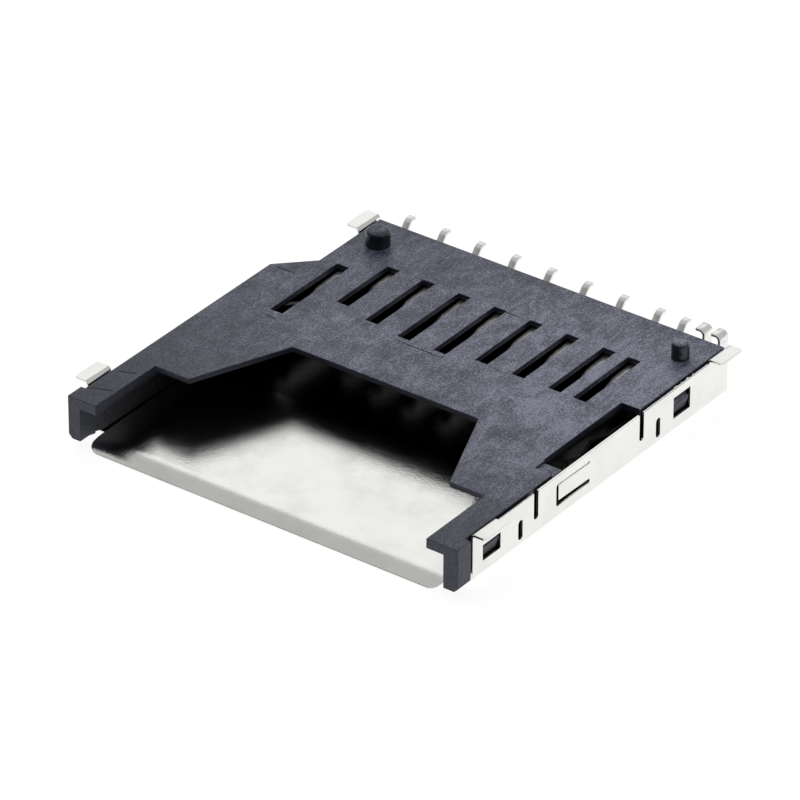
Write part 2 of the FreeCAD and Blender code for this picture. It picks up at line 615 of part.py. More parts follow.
WALLS = (
    ("right_wall", METAL_TOP, INNER_METAL, RIGHT_METAL, METAL_FRONT, REAR),
    ("left_front_wall", LEFT_METAL_TOP, LEFT_METAL, "(%s + sheet)" % LEFT_METAL, METAL_FRONT, LEFT_WALL_END),
    ("left_rear_wall", LEFT_METAL_TOP, JOG_METAL, "(%s + sheet)" % JOG_METAL, LEFT_WALL_START, REAR))
for name, top, left, right, front, rear in WALLS:
    pad(shell, name, "plan", "0", top, rectangle(left, right, front, rear))

# Solder tabs folded outwards at the top of the walls
TAB_TOP = "(%s + tab_rise)" % TOP
TAB_ROOT = "(%s - tab_root)" % METAL_TOP
TABS = (
    ("front_right_tab", INNER_METAL, RIGHT_METAL, "+", METAL_FRONT),
    ("rear_right_tab", INNER_METAL, RIGHT_METAL, "+", "(%s + tab_rear - tab_length)" % REAR),
    ("front_left_tab", "(%s + sheet)" % LEFT_METAL, LEFT_METAL, "-", METAL_FRONT),
    ("rear_left_tab", "(%s + sheet)" % JOG_METAL, JOG_METAL, "-", "(%s + tab_rear - tab_length)" % REAR))
for name, inner, outer, sign, front in TABS:
    tip = "(%s %s tab_reach)" % (outer, sign)
    pad(shell, name, "across", front, "tab_length", (
        (inner, TAB_ROOT), (outer, TAB_ROOT), (outer, "(%s - sheet)" % TAB_TOP),
        (tip, "(%s - sheet)" % TAB_TOP), (tip, TAB_TOP), (inner, TAB_TOP)))
INNER_FACES = (INNER_METAL, "(%s + sheet)" % LEFT_METAL, "(%s + sheet)" % JOG_METAL)
OUTER_FACES = (RIGHT_METAL, LEFT_METAL, JOG_METAL)


def fold(name, radius, level, faces):
    """Rounds the edges along the body at one level, where they meet the given wall faces."""
    soften(shell, name, "Fillet", radius, lambda e: straight(e, 1) and near(e.CenterOfMass.z, level)
           and any(near(e.CenterOfMass.x, face) for face in faces))


fold("tab_bends", "bend + sheet", TAB_TOP, INNER_FACES)
fold("tab_hollows", "bend", "%s - sheet" % TAB_TOP, OUTER_FACES)
fold("floor_bends", "bend + sheet", "0", OUTER_FACES)
fold("floor_hollows", "bend", "sheet", INNER_FACES)

# Windows and slits of the right wall, seen from the side
WINDOW_HALF = "(latch_length / 2 + latch_play)"


def latch_window(middle, high):
    return rectangle("(%s - %s)" % (middle, WINDOW_HALF), "(%s + %s)" % (middle, WINDOW_HALF),
                     "(latch_low - latch_play)", high)


def wall_slit(place, low, high):
    return rectangle("(%s + %s)" % (FRONT, place), "(%s + %s + slit)" % (FRONT, place), low, high)


cut(shell, "right_windows", "along", "%s - wall_gap" % INNER_METAL, "sheet + 2 * wall_gap",
    latch_window(FRONT_LATCH, "(latch_high + latch_play)"), latch_window(REAR_LATCH, "window_high"),
    wall_slit("slit_one", "slit_short_low", "slit_short_high"),
    wall_slit("slit_two", "slit_low", "(%s + %s)" % (METAL_TOP, OVERRUN)),
    wall_slit("slit_three", "slit_low", "(%s + %s)" % (METAL_TOP, OVERRUN)),
    wall_slit("slit_four", "slit_short_low", "slit_short_high"),
    rectangle(LEAF_FRONT, LEAF_REAR, "leaf_low", "leaf_high"))
cut(shell, "left_front_window", "along", "%s - wall_gap" % LEFT_METAL, "sheet + 2 * wall_gap",
    latch_window(FRONT_LATCH, "(latch_high + latch_play)"))
cut(shell, "left_rear_window", "along", "%s - wall_gap" % JOG_METAL, "sheet + 2 * wall_gap",
    latch_window(LEFT_REAR_LATCH, "(latch_high + latch_play)"))


def slit_end(edge):
    """Edges across the sheet at the ends of the slits."""
    if not straight(edge, 0) or edge.CenterOfMass.x < 0:
        return False
    short = ("slit_short_low", "slit_short_high")
    for place, levels in (("slit_one", short), ("slit_two", ("slit_low",)),
                          ("slit_three", ("slit_low",)), ("slit_four", short)):
        for level in levels:
            if near(edge.CenterOfMass.z, level) and abs(
                    edge.CenterOfMass.y - number("%s + %s + slit / 2" % (FRONT, place))) < number("slit"):
                return True
    return False


soften(shell, "slit_ends", "Fillet", "slit * 0.49", slit_end)
soften(shell, "leaf_corners", "Fillet", "leaf_round", lambda e: straight(e, 0) and e.CenterOfMass.x > 0
       and near(e.CenterOfMass.y, LEAF_FRONT)
       and (near(e.CenterOfMass.z, "leaf_low") or near(e.CenterOfMass.z, "leaf_high")))

# Leaf left standing in its cut, its front end pressed inwards
LEAF_TIP = "(%s + leaf_gap)" % LEAF_FRONT
pad(shell, "leaf", "plan", "leaf_low + leaf_under", "leaf_high - leaf_over - leaf_low - leaf_under", (
    (INNER_METAL, LEAF_REAR), ("(%s - leaf_press)" % INNER_METAL, LEAF_TIP),
    ("(%s - leaf_press)" % RIGHT_METAL, LEAF_TIP), (RIGHT_METAL, LEAF_REAR)))

# Front lip, a curve down and forward from the edge of the tongue
LIP_TURN = "(2 * atan(lip_drop / lip_length))"
LIP_RADIUS = "(lip_length / sin(2 * atan(lip_drop / lip_length)))"
lip_section = new_sketch(shell, "lip_section", "across", LIP_START)
lip_section.setExpression("AttachmentOffset.Base.y", bind("sheet - %s" % LIP_RADIUS))
add_loop(lip_section, rectangle("-" + TONGUE, TONGUE, "(%s - sheet)" % LIP_RADIUS, LIP_RADIUS))
lip = shell.newObject("PartDesign::Revolution", "lip")
lip.Profile = lip_section
lip.ReferenceAxis = (lip_section, ["H_Axis"])
lip.setExpression("Angle", bind(LIP_TURN))
doc.recompute()


def lip_corner(edge):
    """The two short edges through the sheet at the free corners of the lip."""
    middle = edge.CenterOfMass
    if edge.Curve.TypeId != "Part::GeomLine" or not near(edge.Length, "sheet"):
        return False
    return near(abs(middle.x), TONGUE) and middle.y < number("%s + sheet" % FRONT)


def tab_corner(edge):
    """The upright edges at the free corners of the tabs."""
    return straight(edge, 2) and near(edge.Length, "sheet") and any(
        near(edge.CenterOfMass.x, "%s %s tab_reach" % (outer, sign))
        for name, inner, outer, sign, front in TABS)


soften(shell, "lip_corners", "Fillet", "lip_corner", lip_corner)
soften(shell, "tab_corners", "Fillet", "tab_round", tab_corner)

# Every object and every solid is tested, then each piece is written out
doc.recompute()
for item in doc.Objects:
    if "Invalid" in item.State or "Error" in item.State:
        raise RuntimeError("%s failed: %s" % (item.Name, item.State))
pieces = [housing, shell] + contacts + switch_blades
for piece in pieces:
    shape = piece.Shape
    if shape.isNull() or not shape.isValid() or len(shape.Solids) != 1:
        raise RuntimeError("%s is not one valid solid" % piece.Label)
    shape.exportStep("parts/%s.step" % piece.Label)
    box = shape.BoundBox
    print("%s volume %.3f from (%.2f, %.2f, %.2f) to (%.2f, %.2f, %.2f)" % (
        piece.Label, shape.Volume, box.XMin, box.YMin, box.ZMin, box.XMax, box.YMax, box.ZMax))
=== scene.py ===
"""Looks of a surface mount memory card socket that lies on its metal shell, circuit board side up.

The frame gives every solid at its real place, in metres. This file rounds the moulded and stamped edges, gives
each piece its finish, domes the ends of the pegs, adds the faint lines that the mould leaves on the plastic and
the slivers that the stamping tool leaves on the metal, and sets the studio and camera.
"""

import json
import math

import bmesh
import bpy
import numpy as np
from bpy.props import FloatProperty, FloatVectorProperty, PointerProperty
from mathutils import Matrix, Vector

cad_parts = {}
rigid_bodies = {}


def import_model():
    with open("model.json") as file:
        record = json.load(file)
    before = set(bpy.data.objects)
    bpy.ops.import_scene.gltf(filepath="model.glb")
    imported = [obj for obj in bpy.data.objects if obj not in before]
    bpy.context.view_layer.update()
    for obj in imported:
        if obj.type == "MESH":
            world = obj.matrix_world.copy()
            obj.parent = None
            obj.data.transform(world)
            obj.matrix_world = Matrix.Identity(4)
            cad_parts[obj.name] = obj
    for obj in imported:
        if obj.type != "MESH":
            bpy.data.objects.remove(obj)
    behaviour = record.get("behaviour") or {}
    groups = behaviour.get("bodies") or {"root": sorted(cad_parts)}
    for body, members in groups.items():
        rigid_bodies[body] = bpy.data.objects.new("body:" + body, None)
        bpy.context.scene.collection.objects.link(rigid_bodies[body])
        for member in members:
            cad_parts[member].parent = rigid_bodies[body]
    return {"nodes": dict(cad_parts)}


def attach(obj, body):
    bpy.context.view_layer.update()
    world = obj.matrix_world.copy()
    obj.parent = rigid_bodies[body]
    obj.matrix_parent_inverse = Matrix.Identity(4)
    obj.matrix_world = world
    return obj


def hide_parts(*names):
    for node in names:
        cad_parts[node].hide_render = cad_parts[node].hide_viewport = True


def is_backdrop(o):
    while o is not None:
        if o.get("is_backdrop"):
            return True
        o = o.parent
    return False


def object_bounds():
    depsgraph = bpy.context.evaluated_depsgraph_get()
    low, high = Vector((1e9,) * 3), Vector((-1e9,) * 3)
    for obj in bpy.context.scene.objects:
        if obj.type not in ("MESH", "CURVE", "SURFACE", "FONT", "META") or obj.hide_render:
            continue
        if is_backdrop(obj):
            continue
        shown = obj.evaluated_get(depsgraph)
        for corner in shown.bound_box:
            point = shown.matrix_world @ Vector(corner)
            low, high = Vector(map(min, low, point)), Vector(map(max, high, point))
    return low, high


bl_info = {
    "name": "Card socket looks",
    "version": (1, 0, 0),
    "blender": (4, 5, 0),
    "location": "3D View > Sidebar > Card socket",
    "description": "Finishes, rounded edges and studio of a surface mount memory card socket",
    "category": "Object",
}

for leftover in list(bpy.data.objects):
    bpy.data.objects.remove(leftover)
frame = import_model()
CAD_LOW, CAD_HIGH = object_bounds()

MM = 0.001
BODY = "root"

# The pegs stand this high on the plate, and nothing is higher than they are
PEG_HEIGHT = 1.1 * MM
PLATE_TOP = CAD_HIGH.z - PEG_HEIGHT

# Nodes of the frame, grouped by what they are on the real socket
CONTACTS = sorted(name for name in frame["nodes"] if name.startswith("contact_"))
SWITCH_BLADES = ("write_protect_spring", "card_detect_spring")

# Merging of a node's triangles before its edges are rounded
WELD = 0.0005 * MM
FLAT = math.radians(0.4)
SHARP = math.radians(38)
EDGE_STEPS = 2


class PlasticSettings(bpy.types.PropertyGroup):
    """Black moulded plastic of the housing."""

    colour: FloatVectorProperty(
        name="Colour", description="Plastic between the grains", subtype="COLOR", size=3, min=0, max=1,
        default=(0.0130, 0.0145, 0.0290))
    pale: FloatVectorProperty(
        name="Pale grain", description="Plastic on the tops of the grain and along its flow marks",
        subtype="COLOR", size=3, min=0, max=1, default=(0.298, 0.306, 0.410))
    # Pale edge colour: partly real rubbing of the plastic, partly a painted highlight along the edges
    worn_and_glint: FloatVectorProperty(
        name="Worn edge", description="Rubbed plastic along the edges", subtype="COLOR", size=3, min=0, max=1,
        default=(0.150, 0.153, 0.180))
    # Painted shade: the dark colour of the upright sides of the pegs, walls and latches
    smooth: FloatVectorProperty(
        name="Smooth sides", description="Plastic on the sides of the pegs, walls and latches", subtype="COLOR",
        size=3, min=0, max=1, default=(0.0015, 0.0016, 0.0024))
    roughness: FloatProperty(
        name="Roughness", description="Middle roughness of the moulded skin", subtype="FACTOR", min=0, max=1,
        default=0.40)
    grain: FloatProperty(
        name="Grain", description="Size of one grain of the eroded mould skin", unit="LENGTH", default=0.13 * MM)
    relief: FloatProperty(
        name="Relief", description="Height of the grain", unit="LENGTH", default=0.015 * MM)
    edge: FloatProperty(
        name="Edge", description="Rounding of the moulded edges", unit="LENGTH", default=0.045 * MM)


class SteelSettings(bpy.types.PropertyGroup):
    """Bright rolled stainless sheet of the shell."""

    colour: FloatVectorProperty(
        name="Colour", description="Bare sheet metal", subtype="COLOR", size=3, min=0, max=1,
        default=(0.86, 0.855, 0.83))
    dull: FloatVectorProperty(
        name="Dull patches", description="Sheet metal under a film of handling", subtype="COLOR", size=3,
        min=0, max=1, default=(0.74, 0.735, 0.70))
    # Painted shade: the floor under the plate is painted dark, in place of the plate's dark reflection
    under_plate_shade: FloatVectorProperty(
        name="Film", description="Dark film left on the inside of the floor, under the plate", subtype="COLOR",
        size=3, min=0, max=1, default=(0.009, 0.009, 0.009))
    roughness: FloatProperty(
        name="Roughness", description="Middle roughness of the rolled sheet", subtype="FACTOR", min=0, max=1,
        default=0.13)
    rolling: FloatProperty(
        name="Rolling lines", description="Distance between the lines left by the rolls", unit="LENGTH",
        default=0.07 * MM)
    relief: FloatProperty(
        name="Relief", description="Height of the fine orange peel of the sheet", unit="LENGTH",
        default=0.0080 * MM)
    edge: FloatProperty(
        name="Edge", description="Rounding of the stamped edges", unit="LENGTH", default=0.022 * MM)


class SpringSettings(bpy.types.PropertyGroup):
    """Plated strip of the contact springs and switch blades."""

    colour: FloatVectorProperty(
        name="Colour", description="Plated strip", subtype="COLOR", size=3, min=0, max=1,
        default=(0.93, 0.925, 0.91))
    shade: FloatVectorProperty(
        name="Shade", description="Duller patches of the plating", subtype="COLOR", size=3, min=0, max=1,
        default=(0.83, 0.825, 0.80))
    # Painted shade: the spring arms are painted dark where they lie in the slots
    arm_shade: FloatVectorProperty(
        name="Bare strip", description="Dark alloy of the spring arms, which is not plated", subtype="COLOR",
        size=3, min=0, max=1, default=(0.050, 0.049, 0.047))
    # Painted highlight: bright colour along the cut edges of the strips
    cut: FloatVectorProperty(
        name="Cut edges", description="Bright metal along the cut edges of the strip", subtype="COLOR", size=3,
        min=0, max=1, default=(0.97, 0.97, 0.96))
    roughness: FloatProperty(
        name="Roughness", description="Middle roughness of the plating", subtype="FACTOR", min=0, max=1,
        default=0.32)
    edge: FloatProperty(
        name="Edge", description="Rounding of the strip's edges", unit="LENGTH", default=0.018 * MM)


class CameraSettings(bpy.types.PropertyGroup):
    """Place of the camera and its lens."""

    azimuth: FloatProperty(
        name="Azimuth", description="Turn of the camera round the socket", subtype="ANGLE",
        default=math.radians(36.57))
    elevation: FloatProperty(
        name="Elevation", description="Height of the camera above the horizon", subtype="ANGLE",
        default=math.radians(31.57))
    distance: FloatProperty(
        name="Distance", description="Camera to the middle of the socket", unit="LENGTH", default=390.9 * MM)
    middle: FloatVectorProperty(
        name="Middle", description="Point that the camera looks at", subtype="TRANSLATION", size=3,
        default=(-0.50 * MM, -1.17 * MM, 1.45 * MM))
    lens: FloatProperty(name="Lens", description="Focal length in millimetres", default=316.44)


class StudioSettings(bpy.types.PropertyGroup):
    """Plain white studio."""

    panel: FloatProperty(
        name="Panel", description="Brightness of the white panel behind the socket", min=0, max=2, default=1.0)
    room: FloatProperty(
        name="Room", description="Brightness of the rest of the studio", min=0, max=2, default=0.52)
    front: FloatProperty(
        name="Front", description="Share of that brightness left on the side in front of the socket",
        subtype="FACTOR", min=0, max=1, default=0.15)
    lamp: FloatProperty(name="Lamp", description="Power of the soft lamp", unit="POWER", default=0.35)


def scene_settings(name):
    """The property group of that name on the open scene."""
    return getattr(bpy.context.scene, "card_socket_" + name)


# Building blocks of the finishes


def add(tree, kind, inputs=None, **attributes):
    """Adds a shader node, sets its attributes, and fills or links its inputs."""
    node = tree.nodes.new("ShaderNode" + kind)
    for key, value in attributes.items():
        setattr(node, key, value)
    for key, value in (inputs or {}).items():
        if isinstance(value, bpy.types.NodeSocket):
            tree.links.new(value, node.inputs[key])
        else:
            node.inputs[key].default_value = value
    return node


def new_finish(name):
    """An empty material and the point on the object that its patterns read."""
    finish = bpy.data.materials.new(name)
    finish.use_nodes = True
    finish.node_tree.nodes.clear()
    return finish, finish.node_tree, add(finish.node_tree, "TexCoord").outputs["Object"]


def noise(tree, point, size, detail=2.0, rough=0.5, stretch=(1, 1, 1), turn=0.0, swirl=0.0):
    """Cloudy pattern whose patches are about size across, drawn out along the axes by stretch, and stirred."""
    across = add(tree, "Mapping", {"Vector": point, "Rotation": (0, 0, turn),
                                   "Scale": tuple(1 / (size * s) for s in stretch)})
    cloud = add(tree, "TexNoise", {"Vector": across.outputs["Vector"], "Scale": 1.0, "Detail": detail,
                                   "Roughness": rough, "Distortion": swirl})
    return cloud.outputs["Fac"]


def span(tree, value, low, high, to_low=0.0, to_high=1.0):
    """Carries the range low to high of a pattern onto another range, held at its ends."""
    return add(tree, "MapRange", {"Value": value, "From Min": low, "From Max": high, "To Min": to_low,
                                  "To Max": to_high}).outputs["Result"]


def combine(tree, operation, first, second):
    return add(tree, "Math", {0: first, 1: second}, operation=operation).outputs["Value"]


def mixed(tree, share, first, second):
    """Colour between first and second; the colour sockets of the mix node are its last ones."""
    node = add(tree, "Mix", data_type="RGBA")
    colour_a, colour_b = [socket for socket in node.inputs if socket.type == "RGBA"]
    tree.links.new(share, node.inputs["Factor"])
    for socket, value in ((colour_a, first), (colour_b, second)):
        if isinstance(value, bpy.types.NodeSocket):
            tree.links.new(value, socket)
        else:
            socket.default_value = (*value, 1)
    return [socket for socket in node.outputs if socket.type == "RGBA"][0]


def raised(tree, height, depth, under=None):
    """Bump of a given depth in metres, laid over another bump where one is given."""
    inputs = {"Height": height, "Distance": depth, "Strength": 1.0}
    if under is not None:
        inputs["Normal"] = under
    return add(tree, "Bump", inputs).outputs["Normal"]


def edge_share(tree, radius, samples=6):
    """Near 1 on a convex or hollow edge and 0 on a flat face: how far the rounded normal leans from the true
    one."""
    rounded = add(tree, "Bevel", {"Radius": radius}, samples=samples).outputs["Normal"]
    own = add(tree, "NewGeometry").outputs["True Normal"]
    agreement = add(tree, "VectorMath", {0: rounded, 1: own}, operation="DOT_PRODUCT").outputs["Value"]
    return span(tree, agreement, 0.995, 0.80)


def surface(tree, colour, roughness, normal, **values):
    """Principled surface with linked colour, roughness and relief; the values are even all over it."""
    shader = add(tree, "BsdfPrincipled", {"Base Color": colour, "Roughness": roughness, "Normal": normal})
    for key, value in values.items():
        shader.inputs[key.replace("_", " ")].default_value = value
    add(tree, "OutputMaterial", {"Surface": shader.outputs["BSDF"]})


# Finishes

# How the pale grain fades over the plate: axis, from and to in millimetres, and its strength at both ends. The
# rise towards +X is a painted sheen; the other two fades darken the plate towards the front and towards the rear
GRAIN_FADES_AND_SHEEN = (("Y", -11, 1, 0.14, 1.0), ("Y", 8, 12.5, 1.0, 0.68), ("X", -13, 9, 0.68, 1.78))

# How far a face looks up, from flat to upright, and how much grain an upright face keeps: upright faces are
# painted darker as painted shade
FLAT_FACE = 0.98
UPRIGHT_FACE = 0.55
UPRIGHT_GRAIN_IN_SHADE = 0.04

# Where the painted shade of the smoother upright sides begins and where it is whole: up the pegs, down the walls,
# and behind the arms' fronts
PEG_FOOT = (PLATE_TOP + 0.05 * MM, PLATE_TOP + 0.10 * MM)
WALL_TOP = (PLATE_TOP - 0.32 * MM, PLATE_TOP - 0.44 * MM)
ARM_FRONT = (-11.9 * MM, -11.6 * MM)

# Share of the roughness that is left on the sides of the pegs
PEG_POLISH = 0.45


def plastic_finish(settings):
    """Glass filled plastic: eroded grain on the faces that look up, with pale flecks and strokes, cloudy flow
    marks and pale edges that are partly rubbed and partly a painted highlight; the sides of the pegs, walls and
    latches are smoother, and painted darker as painted shade."""
    finish, tree, point = new_finish("matte_black_plastic")
    grain = noise(tree, point, settings.grain, detail=3.0, rough=0.6)
    pits = noise(tree, point, settings.grain * 2.6, detail=2.0)
    clouds = noise(tree, point, 2.4 * MM, detail=5.0, rough=0.62)
    flow = noise(tree, point, 1.3 * MM, detail=5.0, rough=0.72, stretch=(1, 2.2, 1), turn=math.radians(35),
                 swirl=1.6)
    strokes = noise(tree, point, 0.15 * MM, detail=2.5, stretch=(1, 3.2, 1), turn=math.radians(55), swirl=1.8)
    flecks = span(tree, noise(tree, point, 0.16 * MM, detail=1.0), 0.62, 0.72)
    cover = combine(tree, "ADD", span(tree, clouds, 0.35, 0.66, 0.14, 0.58),
                    span(tree, flow, 0.46, 0.68, 0.0, 0.50))
    share = combine(tree, "MULTIPLY", span(tree, grain, 0.42, 0.60, 0.38, 1.0), cover)
    share = combine(tree, "ADD", share, span(tree, strokes, 0.56, 0.68, 0.0, 0.36))
    share = combine(tree, "MINIMUM", combine(tree, "ADD", share, combine(tree, "MULTIPLY", flecks, 0.30)), 1.0)
    facing = add(tree, "SeparateXYZ", {0: add(tree, "NewGeometry").outputs["True Normal"]}).outputs["Z"]
    spot = add(tree, "SeparateXYZ", {0: point})
    # Painted sheen: the plate grows lighter towards +X; it also grows darker towards the front and towards the
    # rear
    for axis, near, far, near_strength, far_strength in GRAIN_FADES_AND_SHEEN:
        share = combine(tree, "MULTIPLY", share,
                        span(tree, spot.outputs[axis], near * MM, far * MM, near_strength, far_strength))
    # Painted shade: upright faces keep little of the pale grain
    share = combine(tree, "MULTIPLY", share, span(tree, facing, 0.25, 0.80, UPRIGHT_GRAIN_IN_SHADE, 1.0))
    upright = span(tree, facing, FLAT_FACE, UPRIGHT_FACE)
    above_plate = span(tree, spot.outputs["Z"], *PEG_FOOT)
    below_plate = combine(tree, "MULTIPLY", span(tree, spot.outputs["Z"], *WALL_TOP),
                          span(tree, spot.outputs["Y"], *ARM_FRONT))
    # Painted shade: the upright sides of the pegs, walls and latches take the dark side colour
    peg_side = combine(tree, "MULTIPLY", above_plate, upright)
    smooth = combine(tree, "MAXIMUM", peg_side, combine(tree, "MULTIPLY", below_plate, upright))
    body = mixed(tree, smooth, mixed(tree, share, settings.colour, settings.pale), settings.smooth)
    # Pale edges: partly rubbed plastic, partly a painted highlight along the edges; none on the pegs
    rub_and_glint = combine(tree, "MULTIPLY", edge_share(tree, 0.07 * MM),
                  span(tree, noise(tree, point, 0.5 * MM, detail=3.0), 0.42, 0.66))
    rub_and_glint = combine(tree, "MULTIPLY", rub_and_glint, span(tree, above_plate, 1.0, 0.0))
    colour = mixed(tree, rub_and_glint, body, settings.worn_and_glint)
    roughness = span(tree, grain, 0.38, 0.62, settings.roughness + 0.13, settings.roughness - 0.09)
    roughness = combine(tree, "MULTIPLY", roughness, span(tree, peg_side, 0.0, 1.0, 1.0, PEG_POLISH))
    relief = raised(tree, pits, settings.relief * 1.6, raised(tree, clouds, settings.relief * 2.5))
    relief = raised(tree, grain, settings.relief, relief)
    surface(tree, colour, roughness, relief, IOR=1.5, Specular_IOR_Level=0.65, Specular_Tint=(0.84, 0.89, 1.0, 1))
    return finish


def seam_finish():
    """The darker, rougher skin along the faint lines of the mould."""
    finish, tree, point = new_finish("mould_line_plastic")
    skin = noise(tree, point, 0.1 * MM)
    colour = mixed(tree, skin, (0.006, 0.006, 0.009), (0.014, 0.014, 0.020))
    surface(tree, colour, span(tree, skin, 0.3, 0.7, 0.6, 0.8), raised(tree, skin, 0.005 * MM),
            Specular_IOR_Level=0.1)
    return finish


# Where the painted shade on the inside of the shell's floor begins and where it is whole: backwards from the
# mouth, over the floor's upper face, under the foot of the walls, and in from both sides. It stands in for the
# dark reflection of the plate's underside in the floor
PLATE_SHADE_BACKWARDS = (-3.4 * MM, -2.2 * MM)
PLATE_SHADE_ABOVE = (0.08 * MM, 0.14 * MM)
PLATE_SHADE_BELOW = (0.30 * MM, 0.20 * MM)
PLATE_SHADE_INWARDS = (12.6 * MM, 12.3 * MM)


def steel_finish(settings):
    """Rolled stainless sheet: fine lines along the sheet, soft dull patches with specks, and painted shade on the
    floor under the plate.
    """
    finish, tree, point = new_finish("bright_sheet_steel")
    lines = noise(tree, point, settings.rolling, detail=3.0, rough=0.6, stretch=(1, 60, 1))
    patches = noise(tree, point, 3.0 * MM, detail=4.0, rough=0.6)
    specks = noise(tree, point, 0.085 * MM, detail=1.0)
    dull = combine(tree, "MULTIPLY", span(tree, patches, 0.45, 0.75), span(tree, specks, 0.30, 0.70, 0.45, 1.0))
    spot = add(tree, "SeparateXYZ", {0: point})
    across = add(tree, "Math", {0: spot.outputs["X"]}, operation="ABSOLUTE").outputs["Value"]
    # Painted shade: dark colour on the floor's upper face under the plate
    under_plate_shade = combine(tree, "MULTIPLY", span(tree, spot.outputs["Z"], *PLATE_SHADE_ABOVE),
                   span(tree, spot.outputs["Z"], *PLATE_SHADE_BELOW))
    under_plate_shade = combine(tree, "MULTIPLY", under_plate_shade, span(tree, across, *PLATE_SHADE_INWARDS))
    under_plate_shade = combine(tree, "MULTIPLY", under_plate_shade, span(tree, spot.outputs["Y"], *PLATE_SHADE_BACKWARDS))
    colour = mixed(tree, under_plate_shade, mixed(tree, dull, settings.colour, settings.dull), settings.under_plate_shade)
    base = span(tree, patches, 0.30, 0.75, settings.roughness - 0.05, settings.roughness + 0.06)
    roughness = combine(tree, "ADD", base, span(tree, lines, 0.3, 0.7, -0.02, 0.03))
    relief = raised(tree, specks, settings.relief, raised(tree, lines, settings.relief * 0.3))
    surface(tree, colour, roughness, relief, Metallic=1.0)
    return finish


# Along each strip, in metres: painted dark as painted shade in front of the first line, plated behind the second,
# and with a painted highlight on the cut edges behind the third
CONTACT_STRIP_LINES = (1.5 * MM, 4.5 * MM, -2.0 * MM)
BLADE_STRIP_LINES = (11.0 * MM, 12.8 * MM, 11.0 * MM)


def spring_finish(name, settings, plating):
    """Spring strip painted dark towards its front as painted shade, with bright plating at its rear and a painted
    highlight along its cut edges, divided by the three lines of plating."""
    arm_shade, plated, bright = plating
    finish, tree, point = new_finish(name)
    lines = noise(tree, point, 0.04 * MM, detail=2.0, stretch=(1, 30, 1))
    clouds = noise(tree, point, 0.5 * MM, detail=4.0, rough=0.6)
    plating = mixed(tree, span(tree, clouds, 0.42, 0.72), settings.colour, settings.shade)
    way = add(tree, "SeparateXYZ", {0: point}).outputs["Y"]
    # Painted highlight: bright colour along the cut edges behind the third line
    cut = combine(tree, "MULTIPLY", edge_share(tree, 0.05 * MM), span(tree, way, bright, bright + 0.2 * MM))
    # Painted shade on the strip in front of the first line, with the painted highlight of the cut edges over it
    colour = mixed(tree, cut, mixed(tree, span(tree, way, arm_shade, plated), settings.arm_shade, plating), settings.cut)
    base = span(tree, clouds, 0.3, 0.75, settings.roughness - 0.06, settings.roughness + 0.14)
    base = combine(tree, "ADD", base, combine(tree, "MULTIPLY", cut, 0.20))
    roughness = combine(tree, "ADD", base, span(tree, lines, 0.3, 0.7, -0.02, 0.04))
    relief = raised(tree, lines, 0.001 * MM, raised(tree, clouds, 0.004 * MM))
    surface(tree, colour, roughness, relief, Metallic=1.0)
    return finish


# Shapes


def rounded_copy(node, name, radius, finish):
    """A copy of a node with its triangles merged into whole faces and its edges rounded to the radius."""
    source = frame["nodes"][node].data
    corners = np.empty(len(source.vertices) * 3, np.float32)
    source.vertices.foreach_get("co", corners)
    triangles = np.empty(len(source.loops), np.int32)
    source.loops.foreach_get("vertex_index", triangles)
    mesh = bpy.data.meshes.new(name)
    mesh.from_pydata(corners.reshape(-1, 3), [], triangles.reshape(-1, 3))
    whole = bmesh.new()
    whole.from_mesh(mesh)
    bmesh.ops.remove_doubles(whole, verts=whole.verts, dist=WELD)
    bmesh.ops.dissolve_limit(whole, angle_limit=FLAT, verts=whole.verts, edges=whole.edges)
    whole.to_mesh(mesh)
    whole.free()
    mesh.shade_smooth()
    mesh.materials.append(finish)
    piece = place(mesh)
    edges = piece.modifiers.new("rounded edges", "BEVEL")
    edges.limit_method = "ANGLE"
    edges.angle_limit = SHARP
    edges.width = radius
    edges.segments = EDGE_STEPS
    edges.use_clamp_overlap = False
    edges.loop_slide = False
    shading = piece.modifiers.new("flat faces", "WEIGHTED_NORMAL")
    shading.keep_sharp = True
    shading.weight = 100
    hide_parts(node)
    return piece


def dome_pegs(mesh):
    """Draws the rounded end of each peg out into a shallow dome. A ring at the share s of the rounding's height
    moves to DOME_FLAT + (1 - DOME_FLAT) * sqrt(1 - s * s) of the peg's radius, and to DOME_HEIGHT * (1 - s) under
    the peg's top."""
    points = np.empty(len(mesh.vertices) * 3, np.float32)
    mesh.vertices.foreach_get("co", points)
    points = points.reshape(-1, 3)
    top = points[:, 2].max()
    share = (points[:, 2] - top + PEG_ROUND) / PEG_ROUND
    for x, y, radius in np.array(PEGS) * MM:
        away = points[:, :2] - (x, y)
        reach = np.linalg.norm(away, axis=1)
        end = (reach < radius * 1.1) & (share > -0.02)
        lift = np.clip(share[end], 0, 1)
        drawn = radius * (DOME_FLAT + (1 - DOME_FLAT) * np.sqrt(1 - lift ** 2)) / reach[end]
        points[end, :2] = (x, y) + away[end] * drawn[:, None]
        points[end, 2] = top - DOME_HEIGHT * (1 - lift)
    mesh.vertices.foreach_set("co", points.ravel())


def place(mesh):
    """An object for the mesh that rides on the socket's one body."""
    piece = bpy.data.objects.new(mesh.name, mesh)
    bpy.context.scene.collection.objects.link(piece)
    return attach(piece, BODY)


